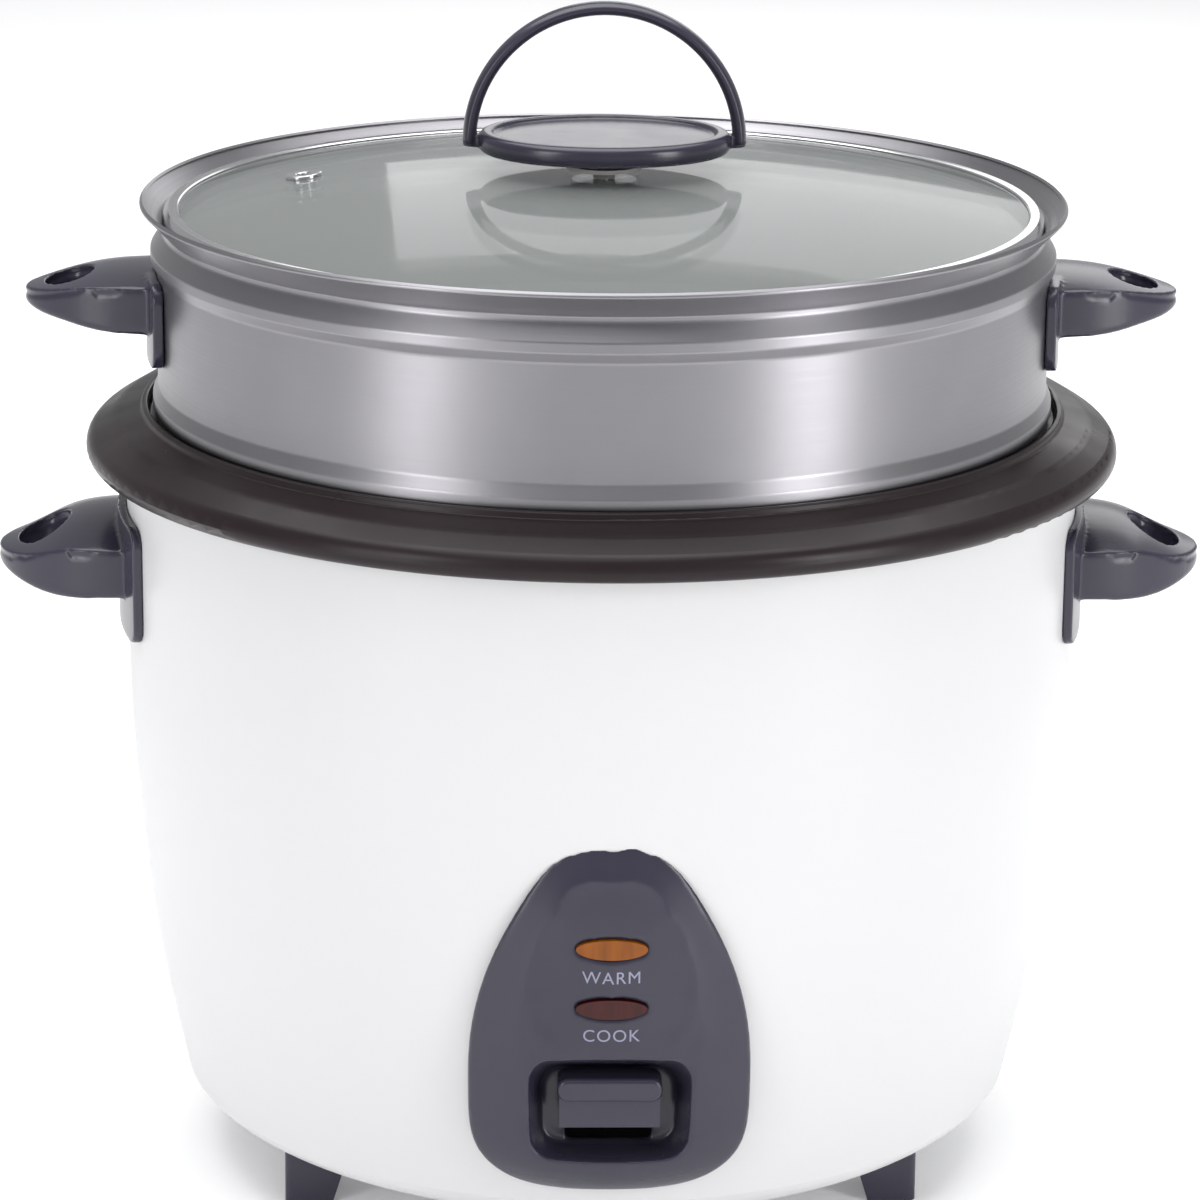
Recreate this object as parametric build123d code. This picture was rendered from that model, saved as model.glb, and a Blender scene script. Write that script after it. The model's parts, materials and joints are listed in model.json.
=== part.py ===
from build123d import *
from math import cos, pi, radians, sin, sqrt
import os

# Electric drum rice cooker with a steamer basket, glass lid, cook lever and magnetic thermostat.
# Millimetres, +Z up. The origin is on the ground plane under the centre of the body, the
# control panel faces -Y and the handles point along X.

# ---- driving dimensions -------------------------------------------------------------------
RING_R = 145.0          # brown top ring, outer radius
RING_TOP = 219.0
RING_BASE = 204.0
MOUTH_R = 127.5         # ring opening at its lip
SHELF_R = 122.4         # ledge inside the ring that carries the pot flange
SHELF_Z = 215.4
WEB_Z = 209.5           # underside of the ring over the shell and liner
SHELL_TOP = 209.0

WALL_R = 134.0          # white outer shell at its straight upper part
WALL_START_Z = 150.0
HEEL_R = 119.0          # shell where the wall turns under
HEEL_Z = 24.0
BASE_R = 98.0
BASE_Z = 13.0
SHELL_T = 1.0
BASE_HOLE_R = 88.0

LINER_R = 121.8         # heat shield round the pot
LINER_T = 0.8
FLOOR_Z = 68.0          # top of the heat shield's floor
FLOOR_T = 0.8

POT_R = 117.8           # inner pot, outside radius
POT_T = 1.5
POT_BASE_Z = 88.8
FLANGE_R = 125.5
FLANGE_Z = 215.7

STEAMER_R = 124.7       # steamer wall above the pot
STEAMER_T = 0.8
STEAMER_NEST_R = 115.3  # lower part that drops into the pot
STEAMER_FLOOR_Z = 192.0
STEAMER_SHOULDER_Z = 217.5
LIP_R = 130.3
LIP_Z = 277.2

LID_APEX_Z = 284.0
LID_CURVE_R = 655.0
GLASS_T = 3.0
GLASS_R = 121.2
VENT_X, VENT_Y, VENT_R = -84.0, 13.0, 3.2

KNOB_ARCH_R = 39.5
KNOB_ARCH_INNER_R = 35.6
KNOB_Z = 291.1          # centre of the knob's arch
KNOB_DISC_X, KNOB_DISC_Y = 35.2, 28.0
DISC_LOW, DISC_TOP = 288.6, 294.5

PLATE_TOP_Z = 88.5
PLATE_R = 90.5
ELEMENT_R = 69.0
ELEMENT_TUBE_R = 3.25
ELEMENT_Z = 75.4
TERMINAL_ANGLE = 16.0   # each side of the rear

PIVOT_Y, PIVOT_Z = -60.0, 52.75
PIN_R = 1.5
RUNNING_GAP = 0.05
KEY_HALF = 14.0
KEY_FRONT_Y = -133.0

PANEL_AXIS_Y = -67.0    # centre of the panel face's curve in plan
PANEL_T = 2.4
PANEL_HALF = 37.8
PANEL_LOW, PANEL_TOP = 29.6, 130.3
LAMP_WARM_Z, LAMP_COOK_Z = 103.0, 86.5

FOOT_X, FOOT_Y = 82.0, 55.0
FOOT_HALF_Y = 7.5

HANDLE_SCREW_YS = (-18, 18)
HANDLE_SCREW_Z = 174.2
STEAMER_SCREW_YS = (-11, 11)
STEAMER_SCREW_Z = 247.6
CROWN_R = 100.0           # cross curve of the grips' tops
ROOT_DEPTH = 12           # grips are drawn this far into the wall, then trimmed
WALL_GAP = 0.02           # handles and panel stand this far off the wall
BASE_SCREW_ANGLES = (0, 90, 180, 270)
BASE_SCREW_R = 93.5
STUD_ANGLES = (30, 150, 270)
STUD_R = 83.0
INLET_LOW, INLET_HIGH = 37.5, 58.5

MIN = Align.MIN
MID = Align.CENTER


# ---- helpers ------------------------------------------------------------------------------
def lathe(*outline):
    """Solid turned about Z from straight-sided (radius, height) corners."""
    return revolve(Plane.XZ * make_face(Polyline(*outline, close=True)), Axis.Z)


def lathe_round(radii, *outline):
    """Solid turned about Z whose outline corners carry the listed radii."""
    return revolve(Plane.XZ * make_face(FilletPolyline(*outline, radius=radii, close=True)), Axis.Z)


def spun(radii, thickness, side, *path):
    """Sheet metal turned about Z: an open path with rounded corners, thickened to one side."""
    wire = FilletPolyline(*path, radius=radii)
    section = make_face(offset(wire, amount=thickness, side=side, closed=True).edges())
    return revolve(Plane.XZ * section, Axis.Z)


def block(x0, x1, y0, y1, z0, z1):
    centre = Pos((x0 + x1) / 2, (y0 + y1) / 2, (z0 + z1) / 2)
    return centre * Box(x1 - x0, y1 - y0, z1 - z0)


def rod(radius, start, end):
    """Cylinder from one point to another."""
    run = Vector(end) - Vector(start)
    return Plane(origin=start, z_dir=run) * Cylinder(radius, run.length, align=(MID, MID, MIN))


def polar(radius, angle, z):
    return (radius * cos(radians(angle)), radius * sin(radians(angle)), z)


def group(pieces):
    """Separate solids kept in one node."""
    return Compound([piece.solid() for piece in pieces])


def coil(radius, wire_r, low, high, turns):
    """Round-wire compression spring standing between two heights."""
    height = high - low - 2 * wire_r
    path = Helix(height / turns, height, radius, center=(0, 0, low + wire_r))
    start = Plane(origin=path @ 0, z_dir=path % 0)
    return sweep(start * Circle(wire_r), path=path)


# ---- housing ------------------------------------------------------------------------------
def body_form(inset, top=SHELL_TOP):
    """Everything inside the shell's outer surface, drawn in by inset."""
    low = BASE_Z + inset
    heel = (HEEL_R - inset, HEEL_Z)
    shoulder = (WALL_R - inset, WALL_START_Z)
    wall = [(r - inset, z) for r, z in ((124.2, 48), (128.6, 75), (132.0, 108))]
    outline = [
        Line((0, low), (BASE_R, low)),
        Bezier((BASE_R, low), (BASE_R + 5, low), (HEEL_R - inset - 3.5, 18), heel),
        Spline(heel, *wall, shoulder, tangents=((0.21, 1), (0, 1))),
        Line(shoulder, (WALL_R - inset, top)),
        Line((WALL_R - inset, top), (0, top)),
        Line((0, top), (0, low)),
    ]
    return revolve(Plane.XZ * make_face(outline), Axis.Z)


def outer_shell():
    """White drum with openings for the panel, the power inlet and the fixings."""
    shell = body_form(0) - body_form(SHELL_T, SHELL_TOP + 5)
    shell -= rod(BASE_HOLE_R, (0, 0, 5), (0, 0, 20))
    shell -= block(-25, 25, -140, -100, 35, 71)
    shell -= block(-20, 20, -140, -100, 78, 112)
    shell -= block(-14.6, 14.6, 100, 140, INLET_LOW - 0.1, INLET_HIGH + 0.1)
    for side in (-1, 1):
        for y in HANDLE_SCREW_YS:
            shell -= rod(2.2, (side * 120, y, HANDLE_SCREW_Z), (side * 140, y, HANDLE_SCREW_Z))
    for x, y in foot_places():
        shell -= rod(2.0, (x, y, 5), (x, y, 30))
    for angle in BASE_SCREW_ANGLES:
        shell -= rod(1.8, polar(BASE_SCREW_R, angle, 5), polar(BASE_SCREW_R, angle, 20))
    return shell


def top_ring():
    """Domed moulded ring; a groove under its rim keeps the wall even."""
    outline = (
        (SHELF_R, WEB_Z), (WALL_R + 0.05, WEB_Z), (WALL_R + 0.05, RING_BASE), (136.4, RING_BASE),
        (136.4, 209.0), (140.6, 208.0), (140.6, RING_BASE), (RING_R, RING_BASE), (RING_R, 210.2),
        (137.0, 215.0), (129.8, 217.2), (129.4, RING_TOP), (MOUTH_R, RING_TOP), (MOUTH_R, SHELF_Z),
        (SHELF_R, SHELF_Z),
    )
    radii = (0.4, 0.4, 0.6, 0.6, 1.0, 1.0, 0.6, 3.2, 5.0, 9.0, 0.6, 0.8, 0.7, 0.8, 0.6)
    return lathe_round(radii, *outline)


def heat_shield():
    """Sheet liner hung from the ring, with the floor that carries the heater and switch."""
    liner = spun(
        (6.0, 1.5), LINER_T, Side.LEFT,
        (18.6, FLOOR_Z - FLOOR_T), (LINER_R, FLOOR_Z - FLOOR_T), (LINER_R, WEB_Z - LINER_T),
        (131.5, WEB_Z - LINER_T),
    )
    for angle in (90 - TERMINAL_ANGLE, 90 + TERMINAL_ANGLE):
        liner -= rod(6.0, polar(ELEMENT_R, angle, 60), polar(ELEMENT_R, angle, 75))
    for angle in STUD_ANGLES:
        liner -= rod(2.2, polar(STUD_R, angle, 60), polar(STUD_R, angle, 75))
    return liner


def base_cover():
    """Pressed steel plate with vent slots round the middle."""
    cover = rod(99, (0, 0, 12), (0, 0, 13))
    slot = Pos(62, 0, 12.5) * extrude(SlotOverall(26, 4), 2, both=True)
    for turn in range(16):
        cover -= Rot(0, 0, turn * 22.5 + 11.25) * slot
    for angle in BASE_SCREW_ANGLES:
        cover -= rod(1.8, polar(BASE_SCREW_R, angle, 5), polar(BASE_SCREW_R, angle, 20))
    for x, y in foot_places():
        notch = block(70, 110, y - FOOT_HALF_Y - 0.5, y + FOOT_HALF_Y + 0.5, 10, 15)
        cover -= notch if x > 0 else mirror(notch, Plane.YZ)
    return cover


def foot_places():
    return [(x, y) for x in (-FOOT_X, FOOT_X) for y in (-FOOT_Y, FOOT_Y)]


def foot(x, y):
    """Tapered foot whose top follows the underside of the shell."""
    side = Polyline((75.5, 0), (89, 0), (89, 24), (70.5, 24), (70.5, 16), close=True)
    form = extrude(Plane.XZ * make_face(side), FOOT_HALF_Y, both=True)
    form = fillet(form.edges().filter_by(Axis.Z), 2.0)
    if x < 0:
        form = mirror(form, Plane.YZ)
    form = Pos(0, y, 0) * form - body_form(0)
    form -= rod(4.0, (x, y, -1), (x, y, 6))
    form -= rod(1.8, (x, y, 5), (x, y, 30))
    return form


def foot_screws():
    screws = []
    for x, y in foot_places():
        screws.append(rod(3.6, (x, y, 3.4), (x, y, 6)) + rod(1.75, (x, y, 5), (x, y, 20)))
    return group(screws)


def base_screws():
    screws = []
    for angle in BASE_SCREW_ANGLES:
        head = rod(3.5, polar(BASE_SCREW_R, angle, 10), polar(BASE_SCREW_R, angle, 12))
        screws.append(head + rod(1.75, polar(BASE_SCREW_R, angle, 11), polar(BASE_SCREW_R, angle, 18)))
    return group(screws)


# ---- handles ------------------------------------------------------------------------------
def half_superellipse(start_x, tip_x, half_width, power=1.9, steps=6):
    """Plan outline of a grip, narrowing to a round tip, closed back through the wall."""
    points = []
    for step in range(-steps, steps + 1):
        y = sin(step * pi / 2 / steps) * half_width
        x = start_x + (tip_x - start_x) * (1 - abs(y / half_width) ** power) ** (1 / power)
        points.append((x, y))
    root_x = start_x - ROOT_DEPTH
    root = Polyline(points[-1], (root_x, half_width), (root_x, -half_width), points[0])
    return make_face([Spline(*points, tangents=((1, 0), (-1, 0))), *root.edges()])


def grip(wall_r, half_width, over, under, hole):
    """Crowned grip along +X with a finger hole (centre x, half x, half y) through it.

    over and under are the (x, z) points of its top and bottom lines, from the wall to the tip.
    """
    start_x = wall_r - 2
    root_x = start_x - ROOT_DEPTH - 1
    tip_x = over[-1][0]
    root_top, root_low, end_x = over[0][1], under[0][1], tip_x + 2
    plan = extrude(Pos(0, 0, root_low - 40) * half_superellipse(start_x, tip_x, half_width), 100)
    low_line = Spline((root_x, root_low), *under, (end_x, under[-1][1] + 1.2))
    box_top = Polyline((end_x, under[-1][1] + 1.2), (end_x, root_top + 20), (root_x, root_top + 20),
                       (root_x, root_low))
    belly = extrude(Plane.XZ * make_face([low_line, *box_top.edges()]), 60, both=True)
    axis_z = root_top - CROWN_R
    top_line = Spline((root_x, root_top), *over, (end_x, over[-1][1] - 0.6))
    to_axis = Polyline((end_x, over[-1][1] - 0.6), (end_x, axis_z), (root_x, axis_z), (root_x, root_top))
    profile = Pos(0, -axis_z) * make_face([top_line, *to_axis.edges()])
    crown = Pos(0, 0, axis_z) * revolve(Plane.XZ * profile, Axis.X)
    form = plan & belly & crown
    underside = form.faces().sort_by(Axis.Z)[0]
    form = fillet([edge for edge in underside.edges() if edge.center().X > root_x + 2], 1.5)
    hole_x, half_x, half_y = hole
    return form - extrude(Pos(hole_x, 0, root_low - 30) * Ellipse(half_x, half_y), 90)


def lug(wall_r, half_width, low, high, thickness):
    """Curved pad that spreads a handle's load over the wall."""
    band = rod(wall_r + thickness, (0, 0, low), (0, 0, high))
    face = Polyline((-half_width, low), (half_width, low), (half_width, high), (-half_width, high),
                    close=True)
    keep = extrude(Plane.YZ * fillet(make_face(face).vertices(), 5), 300)
    return band & keep


def handle_pair(wall_r, grip_sizes, lug_sizes, screw_ys, screw_z, screw_depth):
    """Right and left handles, blind-bored for their screws."""
    right = grip(wall_r, *grip_sizes) + lug(wall_r, *lug_sizes)
    right -= rod(wall_r + WALL_GAP, (0, 0, 0), (0, 0, 400))
    for y in screw_ys:
        right -= rod(2.0, (wall_r - 20, y, screw_z), (wall_r + screw_depth, y, screw_z))
    return right, mirror(right, Plane.YZ)


def screws_through_wall(inner_r, depth, ys, z, head_r=3.5):
    """Screws driven outwards through a wall, on both sides of the body."""
    screws = []
    for side in (-1, 1):
        for y in ys:
            seat = sqrt(inner_r ** 2 - (abs(y) + head_r) ** 2) - 0.1
            head = rod(head_r, (side * (seat - 2.2), y, z), (side * seat, y, z))
            screws.append(head + rod(1.95, (side * (seat - 1), y, z), (side * (inner_r + depth), y, z)))
    return group(screws)


# ---- control panel ------------------------------------------------------------------------
def egg(inset=0):
    """Egg outline of the panel in the X-Z plane."""
    half = [(12.9, 127.4), (24, 113.5), (32.4, 95.4), (37.3, 73), (37.6, 57), (34.8, 40.6), (26.5, 32.6)]
    middle = (PANEL_LOW + PANEL_TOP) / 2
    shrink = 1 - 2 * inset / (PANEL_TOP - PANEL_LOW)
    right = [(x - inset * x / PANEL_HALF, middle + (z - middle) * shrink) for x, z in half]
    left = [(-x, z) for x, z in reversed(right)]
    outline = Spline((0, PANEL_TOP - inset), *right, (0, PANEL_LOW + inset), *left, periodic=True)
    return make_face(outline)


def panel_face(inset=0):
    """Solid whose bulging front carries the panel, set back by inset."""
    curve = [(54, 28), (62, 34.5), (67.4, 46), (70, 67), (70.4, 99), (69, 119), (66, 133)]
    points = [(r - inset, z) for r, z in curve]
    outline = [
        Spline(*points),
        Line(points[-1], (0, points[-1][1])),
        Line((0, points[-1][1]), (0, points[0][1])),
        Line((0, points[0][1]), points[0]),
    ]
    return Pos(0, PANEL_AXIS_Y, 0) * revolve(Plane.XZ * make_face(outline), Axis.Z)


def recess(grow, back_y, front_y):
    """Arched pocket round the key, narrowing towards its back wall."""
    def section(y, half, low, high):
        face = Polyline((-half, low), (half, low), (half, high), (-half, high), close=True)
        return Plane.XZ.offset(-y) * fillet(make_face(face).vertices(), 6)
    back = section(back_y, 18.0 + grow, 42.0 - grow, 64.0 + grow)
    front = section(front_y, 24.0 + grow, 40.5 - grow, 74.5 + grow)
    return loft([back, front])


def lamp_window(z, grow=0.0):
    """Oval opening for a lamp lens."""
    oval = Pos(0, z) * Ellipse(9.5 + grow, 2.75 + grow)
    return extrude(Plane.XZ.offset(100) * oval, 60)


def front_panel():
    """Moulded panel hugging the shell, with the key recess, lamp windows and two snap hooks."""
    outline = extrude(Plane.XZ.offset(100) * egg(), 60)
    form = (outline & panel_face()) - body_form(-0.05)
    hollow = extrude(Plane.XZ.offset(100) * egg(PANEL_T), 60) & panel_face(PANEL_T)
    tub = recess(2.0, -117.5, -141) & panel_face()
    panel = (form - hollow) + tub
    for z in (LAMP_WARM_Z, LAMP_COOK_Z):
        panel += lamp_window(z, 1.6) & panel_face() & block(-20, 20, -145, -132, z - 9, z + 9)
        panel -= lamp_window(z)
    panel -= recess(0.0, -120.0, -142)
    panel -= block(-11.5, 11.5, -125, -110, 42.6, 59)
    for z, rise, wall in ((79.0, -1.7, 127.1), (111.0, 1.7, 130.8)):
        arm = block(-6, 6, -136, -wall + 1.8, z - 0.8, z + 0.8)
        panel += arm + block(-6, 6, -wall, -wall + 1.8, min(z, z + rise) - 0.8, max(z, z + rise) + 0.8)
    for x in (-11, 11):
        panel += block(x - 1.5, x + 1.5, -135.5, -126.5, 92.5, 96.5)
    return panel


def lens(z):
    """Coloured oval window with a shallow domed front."""
    body = lamp_window(z, -0.05) & panel_face(-0.5)
    return body & block(-20, 20, -145, -132.5, z - 5, z + 5)


def lamp_carrier():
    """Plate behind the panel that holds the two indicator lamps."""
    plate = block(-13, 13, -126.5, -124.8, LAMP_COOK_Z - 6, LAMP_WARM_Z + 5)
    for z in (LAMP_WARM_Z, LAMP_COOK_Z):
        for x in (-9, 9):
            plate += block(x - 1, x + 1, -130.0, -126.5, z - 2.6, z + 2.6)
        plate -= rod(2.05, (-10.5, -129.6, z), (10.5, -129.6, z))
    return plate


def neon_lamp(z):
    """Glass envelope with a sealed pip at one end."""
    return rod(2.0, (-10.4, -129.6, z), (8, -129.6, z)) + rod(0.9, (8, -129.6, z), (10, -129.6, z))


# ---- cook lever ---------------------------------------------------------------------------
def cook_key():
    """Pressed key: a raised rounded bar over a flat face, with a shank into the body."""
    bar = block(-KEY_HALF, KEY_HALF, KEY_FRONT_Y, -124.5, 58.4, 65)
    bar = fillet(bar.edges().filter_by(Axis.Y), 3.0)
    bar = fillet(bar.faces().sort_by(Axis.Y)[0].edges(), 1.4)
    face = block(-KEY_HALF + 0.6, KEY_HALF - 0.6, KEY_FRONT_Y + 2.4, -124.5, 50.5, 60)
    shank = block(-8, 8, -124.8, -112, 49.8, 55.8)
    slot = block(-6.05, 6.05, -121, -100, PIVOT_Z - 0.8, PIVOT_Z + 0.8)
    return bar + face + shank - slot


def lever_arm():
    """Steel strip from the key, through its pivot sleeve, to the fork under the magnet rod."""
    arm = block(-6, 6, -120.5, -14, PIVOT_Z - 0.75, PIVOT_Z + 0.75)
    arm += block(-8, 8, -16, 3, PIVOT_Z - 0.75, PIVOT_Z + 0.75)
    arm += block(5, 18, -43, -37, PIVOT_Z - 0.75, PIVOT_Z + 0.75)
    arm += rod(3.5, (-8, PIVOT_Y, PIVOT_Z), (8, PIVOT_Y, PIVOT_Z))
    arm -= rod(PIN_R + RUNNING_GAP, (-20, PIVOT_Y, PIVOT_Z), (20, PIVOT_Y, PIVOT_Z))
    arm -= block(-3.6, 3.6, -5, 4, 45, 60)
    return arm


def lever_bracket():
    """Folded steel bracket under the liner floor, one ear each side of the lever."""
    under = FLOOR_Z - FLOOR_T
    bracket = block(-10, 10, -72, -50, under - 1.2, under)
    for side in (-1, 1):
        ear = block(8.6, 9.8, PIVOT_Y - 6, PIVOT_Y + 6, PIVOT_Z - 5, under)
        bracket += ear if side > 0 else mirror(ear, Plane.YZ)
    return bracket - rod(PIN_R + 0.02, (-20, PIVOT_Y, PIVOT_Z), (20, PIVOT_Y, PIVOT_Z))


def pivot_pin():
    pin = rod(PIN_R, (-11.2, PIVOT_Y, PIVOT_Z), (11.2, PIVOT_Y, PIVOT_Z))
    for side in (-1, 1):
        pin += rod(2.6, (side * 9.9, PIVOT_Y, PIVOT_Z), (side * 11.2, PIVOT_Y, PIVOT_Z))
    return pin


# ---- thermostat ---------------------------------------------------------------------------
def sensor_cap():
    """Spring-loaded cap that feels the pot through the middle of the hot plate."""
    return lathe((0, PLATE_TOP_Z), (17.5, PLATE_TOP_Z), (17.5, 72), (16.7, 72), (16.7, 87.3), (0, 87.3))


def sensor_ferrite():
    return rod(12.0, (0, 0, 81), (0, 0, 87.3))


def thermostat_tube():
    """Guide tube for the magnet, with the flange that screws under the liner floor."""
    under = FLOOR_Z - FLOOR_T
    return lathe((12.4, 63), (13.2, 63), (13.2, under - 1.2), (27, under - 1.2), (27, under),
                 (13.2, under), (13.2, 83), (12.4, 83))


def magnet():
    return lathe((3.05, 62.6), (11.8, 62.6), (11.8, 70.4), (3.05, 70.4))


def magnet_rod():
    """Stepped rod through the magnet; its collar rides on the lever's fork."""
    return lathe((0, 46), (3, 46), (3, 54.4), (6, 54.4), (6, 56.2), (3.05, 56.2), (3.05, 70.4),
                 (5, 70.4), (5, 71.2), (0, 71.2))


def contact_block():
    """Phenolic switch body beside the lever."""
    body = block(10, 32, -48, -32, 58, FLOOR_Z - FLOOR_T)
    body -= rod(2.1, (15, -40, 57), (15, -40, 64))
    return body


def switch_button():
    return rod(2.0, (15, -40, 54.2), (15, -40, 60.5))


def contact_tabs():
    """Two brass blade terminals pushed into the switch body's side."""
    return group([block(32, 40, y - 2.5, y + 2.5, z, z + 0.8) for y, z in ((-44, 60), (-36, 64))])


# ---- heater -------------------------------------------------------------------------------
def element_solid(tube_r):
    """Bent tubular element with its two ends turned down at the rear."""
    sweep_angle = 360 - 2 * TERMINAL_ANGLE
    start = polar(ELEMENT_R, 90 + TERMINAL_ANGLE, ELEMENT_Z)
    ring = revolve(Plane.XZ * Pos(ELEMENT_R, ELEMENT_Z) * Circle(tube_r), Axis.Z, sweep_angle)
    form = Rot(0, 0, 90 + TERMINAL_ANGLE) * ring
    for angle in (90 - TERMINAL_ANGLE, 90 + TERMINAL_ANGLE):
        top = polar(ELEMENT_R, angle, ELEMENT_Z)
        form += Pos(*top) * Sphere(tube_r) + rod(tube_r, polar(ELEMENT_R, angle, 60), top)
    return form


def heating_plate():
    """Cast plate with a rib round its underside for the element and a hub round the sensor."""
    plate = lathe_round(
        (0.8, 1.0, 1.5, 1.0, 2.0, 2.0, 2.0, 2.0, 1.0, 1.0, 0.8),
        (20, PLATE_TOP_Z), (88, PLATE_TOP_Z), (PLATE_R, 86), (PLATE_R, 80), (76, 80), (76, 73),
        (62, 73), (62, 79), (31, 80.5), (31, 75), (20, 75),
    )
    plate -= element_solid(ELEMENT_TUBE_R)
    for angle in STUD_ANGLES:
        plate -= rod(2.0, polar(STUD_R, angle, 70), polar(STUD_R, angle, 84))
    return plate


def heating_element():
    form = element_solid(ELEMENT_TUBE_R)
    for angle in (90 - TERMINAL_ANGLE, 90 + TERMINAL_ANGLE):
        form += rod(1.2, polar(ELEMENT_R, angle, 52), polar(ELEMENT_R, angle, 61))
    return form


def plate_studs():
    """Shouldered studs from the plate through the liner floor."""
    studs = []
    for angle in STUD_ANGLES:
        stud = rod(4.5, polar(STUD_R, angle, FLOOR_Z), polar(STUD_R, angle, 80))
        studs.append(stud + rod(2.0, polar(STUD_R, angle, 60), polar(STUD_R, angle, 84)))
    return group(studs)


def plate_nuts():
    under = FLOOR_Z - FLOOR_T
    nuts = []
    for angle in STUD_ANGLES:
        nut = extrude(Pos(*polar(STUD_R, angle, under - 3.2)) * RegularPolygon(4.0, 6), 3.2)
        nuts.append(nut - rod(2.0, polar(STUD_R, angle, 50), polar(STUD_R, angle, 80)))
    return group(nuts)


def warm_heater_band():
    """Mica-faced strap round the liner that keeps cooked rice warm."""
    band = lathe((LINER_R, 118), (LINER_R + 1.4, 118), (LINER_R + 1.4, 146), (LINER_R, 146))
    return band - block(-9, 9, 0, 140, 110, 150)


def band_buckle():
    """Spring strap that pulls the band's two ends together."""
    strap = lathe((LINER_R + 1.4, 128), (LINER_R + 2.2, 128), (LINER_R + 2.2, 136),
                  (LINER_R + 1.4, 136))
    return strap & block(-24, 24, 0, 140, 110, 150)


def thermal_fuse():
    """Cut-out in its glass sleeve, clipped under the liner floor."""
    return rod(2.6, (-62, 30, 63), (-38, 30, 63))


def fuse_clip():
    """Saddle clip over the cut-out's sleeve."""
    under = FLOOR_Z - FLOOR_T
    saddle = rod(3.4, (-54, 30, 63), (-46, 30, 63)) + block(-54, -46, 26.6, 33.4, 63, under)
    saddle += block(-54, -46, 20, 40, under - 0.8, under)
    saddle -= rod(2.6, (-64, 30, 63), (-36, 30, 63))
    return saddle - block(-64, -36, 27.4, 32.6, 63, under + 1)


def terminal_block():
    """Ceramic joint block where the internal leads meet."""
    body = block(34, 66, 66, 80, 55.2, FLOOR_Z - FLOOR_T)
    for x in (39, 50, 61):
        body -= rod(1.8, (x, 60, 60), (x, 90, 60))
    return body


def terminal_screws():
    return group([rod(2.0, (x, 73, 53.4), (x, 73, 55.2)) for x in (39, 50, 61)])


# ---- power inlet --------------------------------------------------------------------------
def inlet_socket():
    """Recessed mains inlet in a collar that follows the rear wall."""
    collar = block(-19, 19, 110, 129.5, 33, 63)
    collar = fillet(collar.edges().filter_by(Axis.Y), 4) - body_form(-0.05)
    collar = collar + block(-14.5, 14.5, 103, 129.5, INLET_LOW, INLET_HIGH)
    collar -= block(-12, 12, 106, 131, 40, 56)
    for x in (-7, 0, 7):
        collar -= block(x - 1, x + 1, 95, 110, 46, 50)
    return collar


def inlet_pins():
    return group([block(x - 1, x + 1, 96, 121, 46, 50) for x in (-7, 0, 7)])


def wire(radius, bend, *route):
    """Insulated lead along straight runs joined by tangent arcs."""
    path = FilletPolyline(*route, radius=bend)
    return sweep(Plane(origin=path @ 0, z_dir=path % 0) * Circle(radius), path=path)


def internal_leads():
    """Leads from the inlet to the joint block, element, cut-out and switch."""
    return group([
        wire(1.2, 5, (7, 96, 48), (7, 86, 48), (50, 94, 60), (50, 80, 60)),
        wire(1.2, 4, (-7, 96, 48), (-7, 82, 48), (-19, 66.3, 42), (-19, 66.3, 52)),
        wire(1.2, 6, (40, -44, 60.4), (56, -44, 60.4), (61, 20, 60), (61, 66, 60)),
        wire(1.2, 4, (19, 66.3, 52), (19, 66.3, 44), (34, 48, 48), (39, 48, 60), (39, 66, 60)),
        wire(1.2, 4, (-38, 30, 63), (-29, 30, 63), (-18, 36, 57), (20, 48, 56), (50, 50, 60), (50, 66, 60)),
    ])


# ---- pot, steamer and lid -----------------------------------------------------------------
def inner_pot():
    """Deep-drawn pot with a turned-out flange."""
    return spun(
        (22.0, 3.0), POT_T, Side.LEFT,
        (0, POT_BASE_Z), (POT_R, POT_BASE_Z), (POT_R, FLANGE_Z), (FLANGE_R, FLANGE_Z),
    )


def steamer_basket():
    """Spun basket: perforated floor, nesting skirt, shoulder bead, upper bead and flared lip."""
    outer = (
        (0, STEAMER_FLOOR_Z), (STEAMER_NEST_R, STEAMER_FLOOR_Z),
        (STEAMER_NEST_R, STEAMER_SHOULDER_Z), (126.2, STEAMER_SHOULDER_Z), (126.2, 221.5),
        (STEAMER_R, 225.0), (STEAMER_R, 257.0), (126.3, 260.0), (126.3, 262.8), (123.1, 267.6),
        (123.1, 269.0), (129.4, 275.4), (LIP_R - 1.9, LIP_Z - 0.8),
    )
    radii = (7.0, 2.0, 1.5, 1.6, 2.0, 2.0, 1.2, 1.2, 1.5, 0.8, 0.7)
    basket = spun(radii, STEAMER_T, Side.LEFT, *outer)
    for ring in range(1, 7):
        for turn in range(6 * ring):
            spot = polar(15.5 * ring, 360 * turn / (6 * ring), STEAMER_FLOOR_Z - 2)
            basket -= Pos(*spot) * Cylinder(2.5, 8, align=(MID, MID, MIN))
    for side in (-1, 1):
        for y in STEAMER_SCREW_YS:
            basket -= rod(2.1, (side * 110, y, STEAMER_SCREW_Z), (side * 135, y, STEAMER_SCREW_Z))
    return basket


def glass_top(radius):
    """Height of the lid's outer surface at a radius."""
    return LID_APEX_Z - LID_CURVE_R + sqrt(LID_CURVE_R ** 2 - radius ** 2)


def glass_blank():
    """Even-thickness dome before drilling."""
    mid_r = GLASS_R / 2
    upper = ThreePointArc((0, LID_APEX_Z), (mid_r, glass_top(mid_r)), (GLASS_R, glass_top(GLASS_R)))
    lower = Pos(0, -GLASS_T) * upper
    edges = [upper, lower, Line(upper @ 1, lower @ 1), Line(upper @ 0, lower @ 0)]
    return revolve(Plane.XZ * make_face(edges), Axis.Z)


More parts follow.
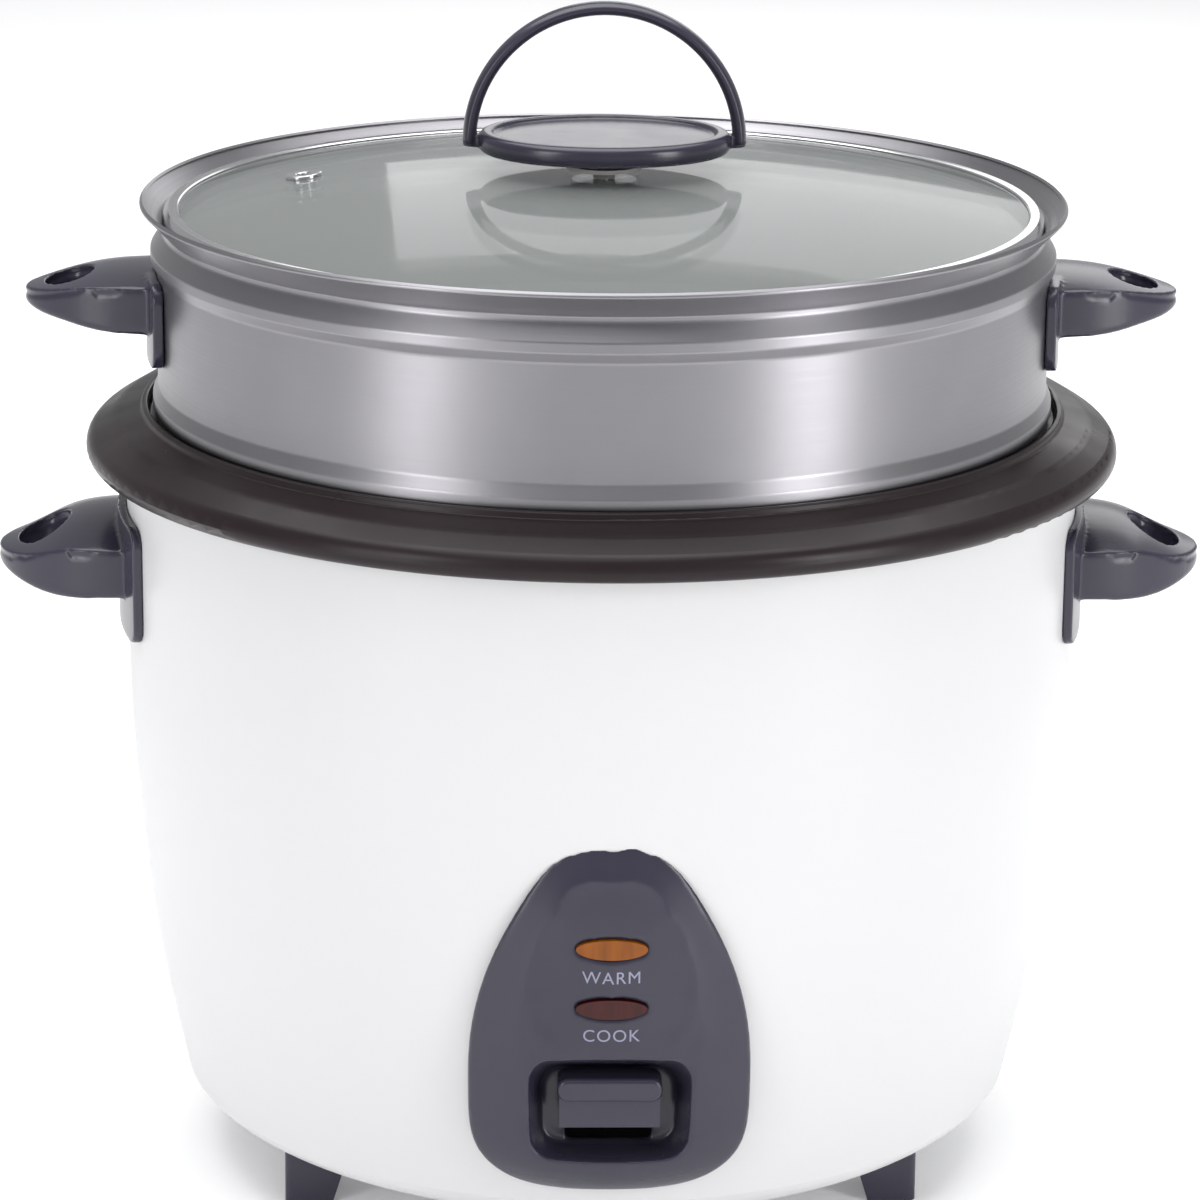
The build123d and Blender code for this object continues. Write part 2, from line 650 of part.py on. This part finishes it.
def lid_glass():
    """Tempered dome drilled for the vent and the knob."""
    glass = glass_blank() - rod(3.1, (0, 0, 250), (0, 0, 300))
    return glass - vent_plane() * Cylinder(VENT_R + 0.03, 20)


def lid_rim():
    """Rolled steel channel round the edge of the glass."""
    return lathe(
        (118.4, 269.2), (118.8, 268.9), (121.2, 268.9), (122.5, 270.2), (122.5, 272.5),
        (121.2, 273.8), (118.8, 273.8), (118.4, 273.5), (118.4, 273.3), (121.3, 272.8),
        (121.3, 269.6), (118.4, 270.1),
    )


def vent_plane():
    """Plane on the glass at the vent, square to its surface."""
    spot_z = glass_top(sqrt(VENT_X ** 2 + VENT_Y ** 2))
    rise = spot_z - (LID_APEX_Z - LID_CURVE_R)
    return Plane(origin=(VENT_X, VENT_Y, spot_z), z_dir=(VENT_X, VENT_Y, rise))


def vent_eyelet():
    """Steel grommet closed over both faces of the glass."""
    outline = ((1.9, -4.1), (5.2, -4.1), (5.2, -3.04), (VENT_R, -3.04), (VENT_R, 0.04),
               (5.2, 0.04), (5.2, 1.1), (1.9, 1.1))
    return vent_plane() * lathe_round((0.5, 0.4, 0.1, 0.1, 0.1, 0.1, 0.4, 0.5), *outline)


def lid_knob():
    """One moulding: oval thumb disc with a dished top, carrying arch, and a stem on the glass."""
    middle_r = (KNOB_ARCH_R + KNOB_ARCH_INNER_R) / 2
    half_t = (KNOB_ARCH_R - KNOB_ARCH_INNER_R) / 2
    disc = extrude(Pos(0, 0, DISC_LOW) * Ellipse(KNOB_DISC_X, KNOB_DISC_Y), DISC_TOP - DISC_LOW)
    disc = fillet(disc.edges(), 2.2)
    dish = extrude(Pos(0, 0, DISC_TOP - 1.2) * Ellipse(KNOB_DISC_X - 4, KNOB_DISC_Y - 4), 3)
    knob = disc - dish
    for side in (-1, 1):
        knob += Pos(side * (middle_r - 1.2), 0, KNOB_Z + 0.4) * Cylinder(3.0, 3.0)
    arch = revolve(Plane.XY * Pos(middle_r, 0) * Ellipse(half_t, 3.8), Axis.Y, 180)
    knob += Pos(0, 0, KNOB_Z) * (Rot(0, -180, 0) * arch)
    knob += rod(10.5, (0, 0, LID_APEX_Z + 1.1), (0, 0, DISC_LOW + 1))
    return knob - rod(2.0, (0, 0, LID_APEX_Z - 2), (0, 0, DISC_LOW + 3))


def knob_gasket():
    """Soft washer between the knob's stem and the glass, with a collar in the hole."""
    washer = lathe((2.1, 281.2), (3.05, 281.2), (3.05, 283.4), (10.5, 283.4), (10.5, 285.05),
                   (2.1, 285.05))
    return washer - lid_glass()


def knob_washer():
    """Dished steel washer under the glass."""
    return lathe((2.1, 279.9), (9, 279.9), (9, 280.9), (2.1, 280.9))


def knob_screw():
    return rod(4.0, (0, 0, 277.6), (0, 0, 279.9)) + rod(1.95, (0, 0, 279), (0, 0, DISC_LOW + 2.4))


# ---- assembly -----------------------------------------------------------------------------
def build_parts():
    """Every node by name."""
    body_grip = (
        31.0, ((134, 186.2), (143, 185.7), (151, 184.0), (160.5, 179.6), (165, 177.8), (170.5, 176.2)),
        ((145, 166.8), (156, 167.2), (163, 168.8), (170.5, 171.6)), (157.6, 7.2, 13.0),
    )
    body_right, body_left = handle_pair(
        WALL_R, body_grip, (42, 157, 190, 2.6), HANDLE_SCREW_YS, HANDLE_SCREW_Z, 16)
    basket_grip = (
        22.5, ((125, 256.5), (139.6, 255.6), (149.6, 253.5), (155.8, 251.8), (161.5, 250.3)),
        ((134, 240.8), (142, 241.6), (150, 243.2), (161.5, 246.2)), (149.0, 6.8, 10.0),
    )
    basket_right, basket_left = handle_pair(
        STEAMER_R, basket_grip, (30, 232.3, 256.0, 3.0), STEAMER_SCREW_YS, STEAMER_SCREW_Z, 14)
    parts = {
        "outer_shell": outer_shell(), "top_ring": top_ring(), "heat_shield": heat_shield(),
        "base_cover": base_cover(), "base_screws": base_screws(), "foot_screws": foot_screws(),
        "handle_right": body_right, "handle_left": body_left,
        "handle_screws": screws_through_wall(WALL_R - SHELL_T, 12, HANDLE_SCREW_YS, HANDLE_SCREW_Z),
        "front_panel": front_panel(), "lens_warm": lens(LAMP_WARM_Z), "lens_cook": lens(LAMP_COOK_Z),
        "lamp_carrier": lamp_carrier(), "neon_lamp_warm": neon_lamp(LAMP_WARM_Z),
        "neon_lamp_cook": neon_lamp(LAMP_COOK_Z), "cook_key": cook_key(), "lever_arm": lever_arm(),
        "lever_bracket": lever_bracket(), "pivot_pin": pivot_pin(), "sensor_cap": sensor_cap(),
        "sensor_ferrite": sensor_ferrite(), "thermostat_tube": thermostat_tube(),
        "sensor_spring": coil(14.9, 0.5, FLOOR_Z - FLOOR_T, 87.3, 5),
        "release_spring": coil(7.5, 0.35, 71.2, 81.0, 3), "magnet": magnet(),
        "magnet_rod": magnet_rod(), "contact_block": contact_block(),
        "switch_button": switch_button(), "contact_tabs": contact_tabs(),
        "heating_plate": heating_plate(), "heating_element": heating_element(),
        "plate_studs": plate_studs(), "plate_nuts": plate_nuts(),
        "warm_heater_band": warm_heater_band(), "band_buckle": band_buckle(),
        "thermal_fuse": thermal_fuse(), "fuse_clip": fuse_clip(),
        "terminal_block": terminal_block(), "terminal_screws": terminal_screws(),
        "inlet_socket": inlet_socket(), "inlet_pins": inlet_pins(),
        "internal_leads": internal_leads(), "inner_pot": inner_pot(),
        "steamer_basket": steamer_basket(), "steamer_handle_right": basket_right,
        "steamer_handle_left": basket_left,
        "steamer_screws": screws_through_wall(
            STEAMER_R - STEAMER_T, 10, STEAMER_SCREW_YS, STEAMER_SCREW_Z, 3.0),
        "lid_glass": lid_glass(), "lid_rim": lid_rim(), "vent_eyelet": vent_eyelet(),
        "lid_knob": lid_knob(), "knob_gasket": knob_gasket(), "knob_washer": knob_washer(),
        "knob_screw": knob_screw(),
    }
    for x, y in foot_places():
        name = f"foot_{'front' if y < 0 else 'rear'}_{'left' if x < 0 else 'right'}"
        parts[name] = foot(x, y)
    return parts


os.makedirs("parts", exist_ok=True)
for node, shape in build_parts().items():
    export_step(shape, f"parts/{node}.step")
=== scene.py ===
import json
import math

import bmesh
import bpy
import numpy as np
from mathutils import Matrix, Vector
from mathutils.bvhtree import BVHTree
from mathutils.kdtree import KDTree


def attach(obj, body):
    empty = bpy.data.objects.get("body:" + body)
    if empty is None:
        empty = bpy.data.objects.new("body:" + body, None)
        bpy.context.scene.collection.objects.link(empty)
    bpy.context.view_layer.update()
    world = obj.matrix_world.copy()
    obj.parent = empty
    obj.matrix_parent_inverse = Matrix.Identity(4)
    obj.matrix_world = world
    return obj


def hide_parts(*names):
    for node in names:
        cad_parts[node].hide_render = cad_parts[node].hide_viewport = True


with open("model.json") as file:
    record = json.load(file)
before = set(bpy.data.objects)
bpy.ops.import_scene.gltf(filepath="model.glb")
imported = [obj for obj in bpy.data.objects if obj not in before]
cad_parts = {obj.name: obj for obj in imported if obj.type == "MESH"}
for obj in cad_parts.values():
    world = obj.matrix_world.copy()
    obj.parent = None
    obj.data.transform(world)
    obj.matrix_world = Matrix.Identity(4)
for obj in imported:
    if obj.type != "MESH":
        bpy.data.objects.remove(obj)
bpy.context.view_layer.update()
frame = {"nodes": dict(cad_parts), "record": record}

nodes = frame["nodes"]

# ---- camera and light ----------------------------------------------------------------------
CAMERA_DISTANCE = 1.300
CAMERA_HEIGHT = 0.5334
CAMERA_PITCH = 16.08      # degrees down
CAMERA_YAW = 1.7          # degrees round the object
CAMERA_ROLL = 0.56
CAMERA_LENS = 142.0       # mm on a 36 mm sensor
AIM = (0, 0, 0.17)


def make_camera():
    data = bpy.data.cameras.new("camera")
    data.lens = CAMERA_LENS
    data.sensor_width = 36.0
    camera = bpy.data.objects.new("camera", data)
    bpy.context.scene.collection.objects.link(camera)
    turn = Matrix.Rotation(math.radians(-CAMERA_YAW), 4, "Z")
    tilt = Matrix.Rotation(math.radians(90 - CAMERA_PITCH), 4, "X")
    roll = Matrix.Rotation(math.radians(CAMERA_ROLL), 4, "Z")
    place = Matrix.Translation((0, -CAMERA_DISTANCE, CAMERA_HEIGHT))
    camera.matrix_world = turn @ place @ tilt @ roll
    bpy.context.scene.camera = camera


def softbox(name, place, width, height, power):
    """Rectangular studio light aimed at the object; sizes in metres, power in watts."""
    data = bpy.data.lights.new(name, "AREA")
    data.shape = "RECTANGLE"
    data.size = width
    data.size_y = height
    data.energy = power
    light = bpy.data.objects.new(name, data)
    light.location = place
    light.rotation_euler = (Vector(AIM) - Vector(place)).to_track_quat("-Z", "Y").to_euler()
    bpy.context.scene.collection.objects.link(light)


def make_light():
    softbox("box_left", (-1.25, -1.35, 0.9), 0.55, 0.8, 4.5)
    softbox("box_right", (1.35, -1.25, 0.9), 0.55, 0.8, 4.5)
    softbox("box_low_left", (-0.90, -0.86, 0.36), 0.34, 0.70, 2.6)
    softbox("box_low_right", (0.93, -0.80, 0.36), 0.34, 0.70, 4.2)
    softbox("box_top", (0.0, 0.25, 1.5), 1.8, 1.2, 20)
    softbox("box_rear", (0.4, 1.9, 0.9), 1.2, 0.8, 4)
    sun = bpy.data.lights.new("sun", "SUN")
    sun.energy = 1.0
    sun.angle = math.radians(50)
    lamp = bpy.data.objects.new("sun", sun)
    lamp.rotation_euler = (math.radians(9), math.radians(-7), 0)
    bpy.context.scene.collection.objects.link(lamp)
    world = bpy.data.worlds.new("world")
    world.use_nodes = True
    background = world.node_tree.nodes["Background"]
    background.inputs["Color"].default_value = (0.97, 0.98, 1.0, 1)
    background.inputs["Strength"].default_value = 0.42
    bpy.context.scene.world = world


def make_floor(half=8.0):
    mesh = bpy.data.meshes.new("floor")
    corners = [(-half, -half, 0), (half, -half, 0), (half, half, 0), (-half, half, 0)]
    mesh.from_pydata(corners, [], [(0, 1, 2, 3)])
    floor = bpy.data.objects.new("floor", mesh)
    bpy.context.scene.collection.objects.link(floor)
    material, tree, shader = start_material("floor_paper", (0.9, 0.9, 0.9), 0.75)
    roughness_variation(tree, shader, 3.0, 0.7, 0.8)
    shader.inputs["Emission Color"].default_value = (1, 1, 1, 1)
    shader.inputs["Emission Strength"].default_value = 0.15
    mesh.materials.append(material)


# ---- material nodes ------------------------------------------------------------------------
def start_material(name, colour, roughness, metallic=0.0):
    material = bpy.data.materials.new(name)
    material.use_nodes = True
    tree = material.node_tree
    shader = tree.nodes["Principled BSDF"]
    shader.inputs["Base Color"].default_value = (*colour, 1)
    shader.inputs["Roughness"].default_value = roughness
    shader.inputs["Metallic"].default_value = metallic
    return material, tree, shader


def noise_value(tree, scale, detail=3.0, stretch=(1, 1, 1)):
    """Noise over the object's own metres; stretch scales it along X, Y and Z."""
    place = tree.nodes.new("ShaderNodeTexCoord")
    mapping = tree.nodes.new("ShaderNodeMapping")
    mapping.inputs["Scale"].default_value = stretch
    noise = tree.nodes.new("ShaderNodeTexNoise")
    noise.inputs["Scale"].default_value = scale
    noise.inputs["Detail"].default_value = detail
    tree.links.new(place.outputs["Object"], mapping.inputs["Vector"])
    tree.links.new(mapping.outputs["Vector"], noise.inputs["Vector"])
    return noise.outputs["Fac"]


def turned_lines(tree, scale):
    """Fine rings left by spinning: noise over the distance from Z and the height only."""
    place = tree.nodes.new("ShaderNodeTexCoord")
    split = tree.nodes.new("ShaderNodeSeparateXYZ")
    flat = tree.nodes.new("ShaderNodeCombineXYZ")
    reach = tree.nodes.new("ShaderNodeVectorMath")
    reach.operation = "LENGTH"
    spot = tree.nodes.new("ShaderNodeCombineXYZ")
    noise = tree.nodes.new("ShaderNodeTexNoise")
    noise.noise_dimensions = "2D"
    noise.inputs["Scale"].default_value = scale
    noise.inputs["Detail"].default_value = 4.0
    tree.links.new(place.outputs["Object"], split.inputs["Vector"])
    tree.links.new(split.outputs["X"], flat.inputs["X"])
    tree.links.new(split.outputs["Y"], flat.inputs["Y"])
    tree.links.new(flat.outputs["Vector"], reach.inputs[0])
    tree.links.new(reach.outputs["Value"], spot.inputs["X"])
    tree.links.new(split.outputs["Z"], spot.inputs["Y"])
    tree.links.new(spot.outputs["Vector"], noise.inputs["Vector"])
    return noise.outputs["Fac"]


def mapped(tree, value, low, high):
    """Spreads the middle of a noise between two values."""
    spread = tree.nodes.new("ShaderNodeMapRange")
    spread.inputs["From Min"].default_value = 0.3
    spread.inputs["From Max"].default_value = 0.7
    spread.inputs["To Min"].default_value = low
    spread.inputs["To Max"].default_value = high
    tree.links.new(value, spread.inputs["Value"])
    return spread.outputs["Result"]


def roughness_variation(tree, shader, scale, low, high):
    tree.links.new(mapped(tree, noise_value(tree, scale), low, high), shader.inputs["Roughness"])


def colour_variation(tree, shader, value, dark, light):
    ramp = tree.nodes.new("ShaderNodeValToRGB")
    ramp.color_ramp.elements[0].position = 0.3
    ramp.color_ramp.elements[0].color = (*dark, 1)
    ramp.color_ramp.elements[1].position = 0.7
    ramp.color_ramp.elements[1].color = (*light, 1)
    tree.links.new(value, ramp.inputs["Fac"])
    tree.links.new(ramp.outputs["Color"], shader.inputs["Base Color"])


def bump(tree, shader, value, depth, strength=1.0):
    """Relief of the given depth in metres."""
    relief = tree.nodes.new("ShaderNodeBump")
    relief.inputs["Strength"].default_value = strength
    relief.inputs["Distance"].default_value = depth
    tree.links.new(value, relief.inputs["Height"])
    tree.links.new(relief.outputs["Normal"], shader.inputs["Normal"])


def scaled(colour, factor):
    return tuple(min(1.0, channel * factor) for channel in colour)


def moulded_plastic(name, colour, low, high, grain=1400, depth=0.00002, gloss=0.32):
    """Injection-moulded plastic: faint grain, uneven gloss and a slight mottle."""
    material, tree, shader = start_material(name, colour, low)
    roughness_variation(tree, shader, 60, low, high)
    mottle = noise_value(tree, 35)
    colour_variation(tree, shader, mottle, scaled(colour, 0.92), scaled(colour, 1.08))
    bump(tree, shader, noise_value(tree, grain, 2.0), depth)
    shader.inputs["Specular IOR Level"].default_value = gloss
    return material


def metal(name, colour, low, high, lines, depth, anisotropy=0.0):
    """Metal with turned lines round its axis, or plain grain when lines is negative."""
    material, tree, shader = start_material(name, colour, low, 1.0)
    texture = turned_lines(tree, lines) if lines > 0 else noise_value(tree, -lines)
    tree.links.new(mapped(tree, texture, low, high), shader.inputs["Roughness"])
    mottle = noise_value(tree, 25)
    colour_variation(tree, shader, mottle, scaled(colour, 0.95), scaled(colour, 1.05))
    bump(tree, shader, texture, depth)
    shader.inputs["Anisotropic"].default_value = anisotropy
    shader.inputs["Anisotropic Rotation"].default_value = 0.25
    return material


def enamel(name):
    """Glossy white stove enamel with a trace of orange peel."""
    white = (0.64, 0.64, 0.645)
    material, tree, shader = start_material(name, white, 0.2)
    roughness_variation(tree, shader, 18, 0.3, 0.4)
    colour_variation(tree, shader, noise_value(tree, 9), scaled(white, 0.985), white)
    bump(tree, shader, noise_value(tree, 260, 1.0), 0.00003)
    return material


def clear_glass(name, colour, low, high):
    """Glass seen through straight on and shining at a slant."""
    material, tree, shader = start_material(name, colour, 0.05)
    weight = tree.nodes.new("ShaderNodeLayerWeight")
    weight.inputs["Blend"].default_value = 0.5
    spread = tree.nodes.new("ShaderNodeMapRange")
    spread.inputs["To Min"].default_value = low
    spread.inputs["To Max"].default_value = high
    tree.links.new(weight.outputs["Facing"], spread.inputs["Value"])
    tree.links.new(spread.outputs["Result"], shader.inputs["Alpha"])
    roughness_variation(tree, shader, 40, 0.03, 0.08)
    shader.inputs["Specular IOR Level"].default_value = 0.5
    return material


def lamp_lens(name, colour, painted_glow):
    """Tinted lens with moulded flutes behind its gloss and a faint painted glow from its own
    emission.
    """
    material, tree, shader = start_material(name, colour, 0.12)
    flutes = noise_value(tree, 420, 1.0, (1, 1, 0.15))
    colour_variation(tree, shader, flutes, scaled(colour, 0.72), scaled(colour, 1.15))
    bump(tree, shader, flutes, 0.00004)
    shader.inputs["Coat Weight"].default_value = 0.15
    shader.inputs["Specular IOR Level"].default_value = 0.25
    shader.inputs["Coat Roughness"].default_value = 0.03
    # Emission paints a faint glow onto the lens, though no lamp behind it is lit.
    shader.inputs["Emission Color"].default_value = (*colour, 1)
    shader.inputs["Emission Strength"].default_value = painted_glow
    return material


def make_materials():
    """One finish for each material slot of the record."""
    return {
        "white_enamel": enamel("white_enamel"),
        "ring_brown": moulded_plastic(
            "ring_brown", (0.0165, 0.0105, 0.0118), 0.27, 0.36, 1800, 0.000006, 0.22
        ),
        "slate_plastic": moulded_plastic(
            "slate_plastic", (0.03, 0.028, 0.046), 0.2, 0.26, 1400, 0.000003, 0.45
        ),
        "black_plastic": moulded_plastic(
            "black_plastic", (0.012, 0.012, 0.013), 0.4, 0.5, 1500, 0.00005
        ),
        "phenolic": moulded_plastic("phenolic", (0.05, 0.024, 0.014), 0.4, 0.55, 900, 0.00004),
        "ceramic_white": moulded_plastic(
            "ceramic_white", (0.74, 0.72, 0.66), 0.25, 0.45, 500, 0.00005
        ),
        "silicone": moulded_plastic("silicone", (0.55, 0.55, 0.52), 0.45, 0.6, 700, 0.00003),
        "lead_insulation": moulded_plastic(
            "lead_insulation", (0.5, 0.035, 0.02), 0.4, 0.55, 900, 0.00003
        ),
        "mica_band": moulded_plastic("mica_band", (0.38, 0.31, 0.2), 0.3, 0.6, 220, 0.0002),
        "satin_aluminium": metal(
            "satin_aluminium", (0.29, 0.284, 0.3), 0.34, 0.42, 2600, 0.000006, 0.6
        ),
        "pot_aluminium": metal(
            "pot_aluminium", (0.34, 0.34, 0.35), 0.34, 0.48, 2000, 0.00001, 0.4
        ),
        "cast_aluminium": metal("cast_aluminium", (0.5, 0.5, 0.5), 0.4, 0.58, 900, 0.00003),
        "bright_steel": metal("bright_steel", (0.64, 0.64, 0.65), 0.1, 0.2, 3000, 0.000004),
        "zinc_steel": metal("zinc_steel", (0.55, 0.56, 0.58), 0.28, 0.45, -300, 0.00002),
        "element_steel": metal("element_steel", (0.22, 0.2, 0.18), 0.4, 0.6, -500, 0.00003),
        "brass_terminal": metal("brass_terminal", (0.72, 0.52, 0.2), 0.2, 0.35, -700, 0.00001),
        "soft_ferrite": metal("soft_ferrite", (0.08, 0.08, 0.085), 0.5, 0.7, -1600, 0.00005),
        "clear_glass": clear_glass("clear_glass", (0.3, 0.32, 0.31), 0.1, 0.55),
        "neon_glass": clear_glass("neon_glass", (0.8, 0.55, 0.4), 0.3, 0.8),
        "lens_amber": lamp_lens("lens_amber", (0.22, 0.06, 0.001), 0.05),
        "lens_red": lamp_lens("lens_red", (0.04, 0.0025, 0.0015), 0.03),
    }


# ---- moulded pieces ------------------------------------------------------------------------
def remeshed(node, name, voxel):
    """Closed even mesh of a CAD node, whose edges come out softly rounded."""
    piece = bpy.data.objects.new(name, nodes[node].data.copy())
    piece.data.materials.clear()
    bpy.context.scene.collection.objects.link(piece)
    modifier = piece.modifiers.new("even", "REMESH")
    modifier.mode = "VOXEL"
    modifier.voxel_size = voxel
    modifier.use_smooth_shade = True
    graph = bpy.context.evaluated_depsgraph_get()
    mesh = bpy.data.meshes.new_from_object(piece.evaluated_get(graph))
    piece.modifiers.clear()
    piece.data = mesh
    mesh.name = name
    return piece


def points_of(mesh):
    """Vertex positions and normals as arrays."""
    points = np.zeros(len(mesh.vertices) * 3)
    normals = np.zeros(len(mesh.vertices) * 3)
    mesh.vertices.foreach_get("co", points)
    mesh.vertices.foreach_get("normal", normals)
    return points.reshape(-1, 3), normals.reshape(-1, 3)


def set_points(mesh, points):
    """Writes moved vertex positions back in one go."""
    mesh.vertices.foreach_set("co", points.ravel())
    mesh.update()


def smoothed(piece, rounds, chosen=None):
    """Relaxes a mesh towards its neighbours' mean, where the chosen share is above 0."""
    points = points_of(piece.data)[0]
    edges = np.zeros(len(piece.data.edges) * 2, int)
    piece.data.edges.foreach_get("vertices", edges)
    first, second = edges.reshape(-1, 2).T
    count = np.bincount(edges, minlength=len(points))[:, None]
    share = 1.0 if chosen is None else chosen[:, None]
    for _ in range(rounds):
        total = np.zeros_like(points)
        for axis in range(3):
            total[:, axis] += np.bincount(first, points[second, axis], len(points))
            total[:, axis] += np.bincount(second, points[first, axis], len(points))
        points = points + share * 0.5 * (total / count - points)
    set_points(piece.data, points)


def finish_piece(piece, body, slot, *replaced):
    """Gives a piece the material of a slot, parents it to its body and hides the CAD nodes it
    stands in for.
    """
    piece.data.materials.append(materials[slot])
    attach(piece, body)
    if replaced:
        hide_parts(*replaced)


def smoothstep(low, high, value):
    share = np.clip((value - low) / (high - low), 0.0, 1.0)
    return share * share * (3 - 2 * share)


# ---- handles -------------------------------------------------------------------------------
VOXEL = 0.0005            # remesh size of the moulded pieces
SLICE = 0.002             # step along X at which the grip's top edge is found
CREASE_DEPTH = 0.0005
CREASE_DROP = 0.0016      # groove's distance below the grip's top edge
CREASE_WIDTH = 0.0007
ROOT_REACH = 0.0045       # thickness of the lug, outside the wall


def edge_height(points, skirt):
    """Height of the grip's top edge beside every point, from slices along X."""
    slices = np.rint(np.abs(points[:, 0]) / SLICE).astype(int)
    heights = np.full(slices.max() + 1, -1.0)
    np.maximum.at(heights, slices[skirt], points[skirt, 2])
    filled = np.flatnonzero(heights > 0)
    return np.interp(np.abs(points[:, 0]) / SLICE, filled, heights[filled])


def make_handle(node, body, wall_r):
    """Grip with soft edges, a shadow groove under the crease and a fillet into its lug."""
    piece = remeshed(node, node + "_grip", VOXEL)
    points, normals = points_of(piece.data)
    reach = np.abs(points[:, 0])
    root = wall_r + ROOT_REACH
    skirt = (reach > root) & (np.abs(normals[:, 2]) < 0.5)
    below = edge_height(points, skirt) - points[:, 2] - CREASE_DROP
    fade_in = smoothstep(root, root + 0.004, reach)
    groove = np.exp(-(below / CREASE_WIDTH) ** 2) * CREASE_DEPTH * fade_in
    points -= normals * (groove * skirt)[:, None]
    set_points(piece.data, points)
    outside = np.hypot(points[:, 0], points[:, 1]) > wall_r + 0.001
    junction = outside & (reach < root + 0.002)
    smoothed(piece, 14, junction.astype(float))
    smoothed(piece, 2)
    finish_piece(piece, body, "slate_plastic", node)


# ---- control panel -------------------------------------------------------------------------
SHOULDER_INSET = 0.0120   # distance of the soft shoulder from the panel's outline
SHOULDER_WIDTH = 0.0034
SHOULDER_RISE = 0.0009
FLANK_FALL = 0.0003       # how far the face drops outside the shoulder


def outline_distance(points, normals):
    """Distance of every point from the panel's outline, seen from the front."""
    wide, high = np.abs(points[:, 0]), points[:, 2]
    recess = (wide < 0.027) & (high > 0.037) & (high < 0.078)
    windows = (wide < 0.0095) & (high > 0.079) & (high < 0.109)
    wall = (np.abs(normals[:, 1]) < 0.3) & ~recess & ~windows
    rows = np.flatnonzero(wall)
    tree = KDTree(len(rows))
    for row in rows:
        tree.insert((points[row, 0], 0, points[row, 2]), row)
    tree.balance()
    return np.array([tree.find((x, 0, z))[2] for x, _, z in points])


def make_panel():
    """Panel with a soft shoulder inside its outline, fading out round the key recess."""
    piece = remeshed("front_panel", "panel_face", VOXEL)
    smoothed(piece, 8)
    points, normals = points_of(piece.data)
    inside = outline_distance(points, normals)
    upper = smoothstep(0.052, 0.085, points[:, 2]) * smoothstep(0.2, 0.6, -normals[:, 1])
    shoulder = np.exp(-((inside - SHOULDER_INSET) / SHOULDER_WIDTH) ** 2) * SHOULDER_RISE
    flank = (1 - smoothstep(0.001, SHOULDER_INSET, inside)) * FLANK_FALL
    points[:, 1] += upper * (flank - shoulder)
    set_points(piece.data, points)
    smoothed(piece, 8)
    finish_piece(piece, "housing", "slate_plastic", "front_panel")
    return piece


INK_LIFT = 0.00008        # height of the print above the panel


def make_word(text, height, z, panel):
    """Printed function word laid on the panel's curved face."""
    curve = bpy.data.curves.new("word_" + text.lower(), "FONT")
    curve.body = text
    curve.size = height * 1.4
    curve.space_character = 1.12
    curve.align_x = "CENTER"
    curve.resolution_u = 6
    source = bpy.data.objects.new("word_source", curve)
    bpy.context.scene.collection.objects.link(source)
    graph = bpy.context.evaluated_depsgraph_get()
    mesh = bpy.data.meshes.new_from_object(source.evaluated_get(graph))
    bpy.data.objects.remove(source)
    form = bmesh.new()
    form.from_mesh(mesh)
    bmesh.ops.subdivide_edges(form, edges=form.edges[:], cuts=2)
    tree = BVHTree.FromPolygons([v.co for v in panel.data.vertices],
                                [p.vertices for p in panel.data.polygons])
    for vert in form.verts:
        x, up = vert.co.x, vert.co.y
        hit = tree.ray_cast(Vector((x, -0.2, z + up)), Vector((0, 1, 0)))[0]
        vert.co = Vector((x, hit.y - INK_LIFT, z + up))
    form.to_mesh(mesh)
    form.free()
    word = bpy.data.objects.new("word_" + text.lower(), mesh)
    bpy.context.scene.collection.objects.link(word)
    mesh.materials.clear()
    mesh.materials.append(print_ink)
    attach(word, "housing")


# ---- assembly ------------------------------------------------------------------------------
bpy.context.scene.view_settings.view_transform = "Standard"
make_camera()
make_light()
make_floor()
materials = make_materials()
print_ink = moulded_plastic("print_ink", (0.26, 0.26, 0.36), 0.35, 0.5, 900, 0.00001)

for part in frame["record"]["subparts"]:
    mesh = nodes[part["node"]].data
    mesh.materials.clear()
    mesh.materials.append(materials[part["material_slot"]])

for side in ("right", "left"):
    make_handle(f"handle_{side}", "housing", 0.1366)
    make_handle(f"steamer_handle_{side}", "steamer", 0.1277)
panel = make_panel()
make_word("WARM", 0.0034, 0.0937, panel)
make_word("COOK", 0.0034, 0.0774, panel)

knob = remeshed("lid_knob", "knob", 0.00045)
smoothed(knob, 4)
finish_piece(knob, "lid", "slate_plastic", "lid_knob")
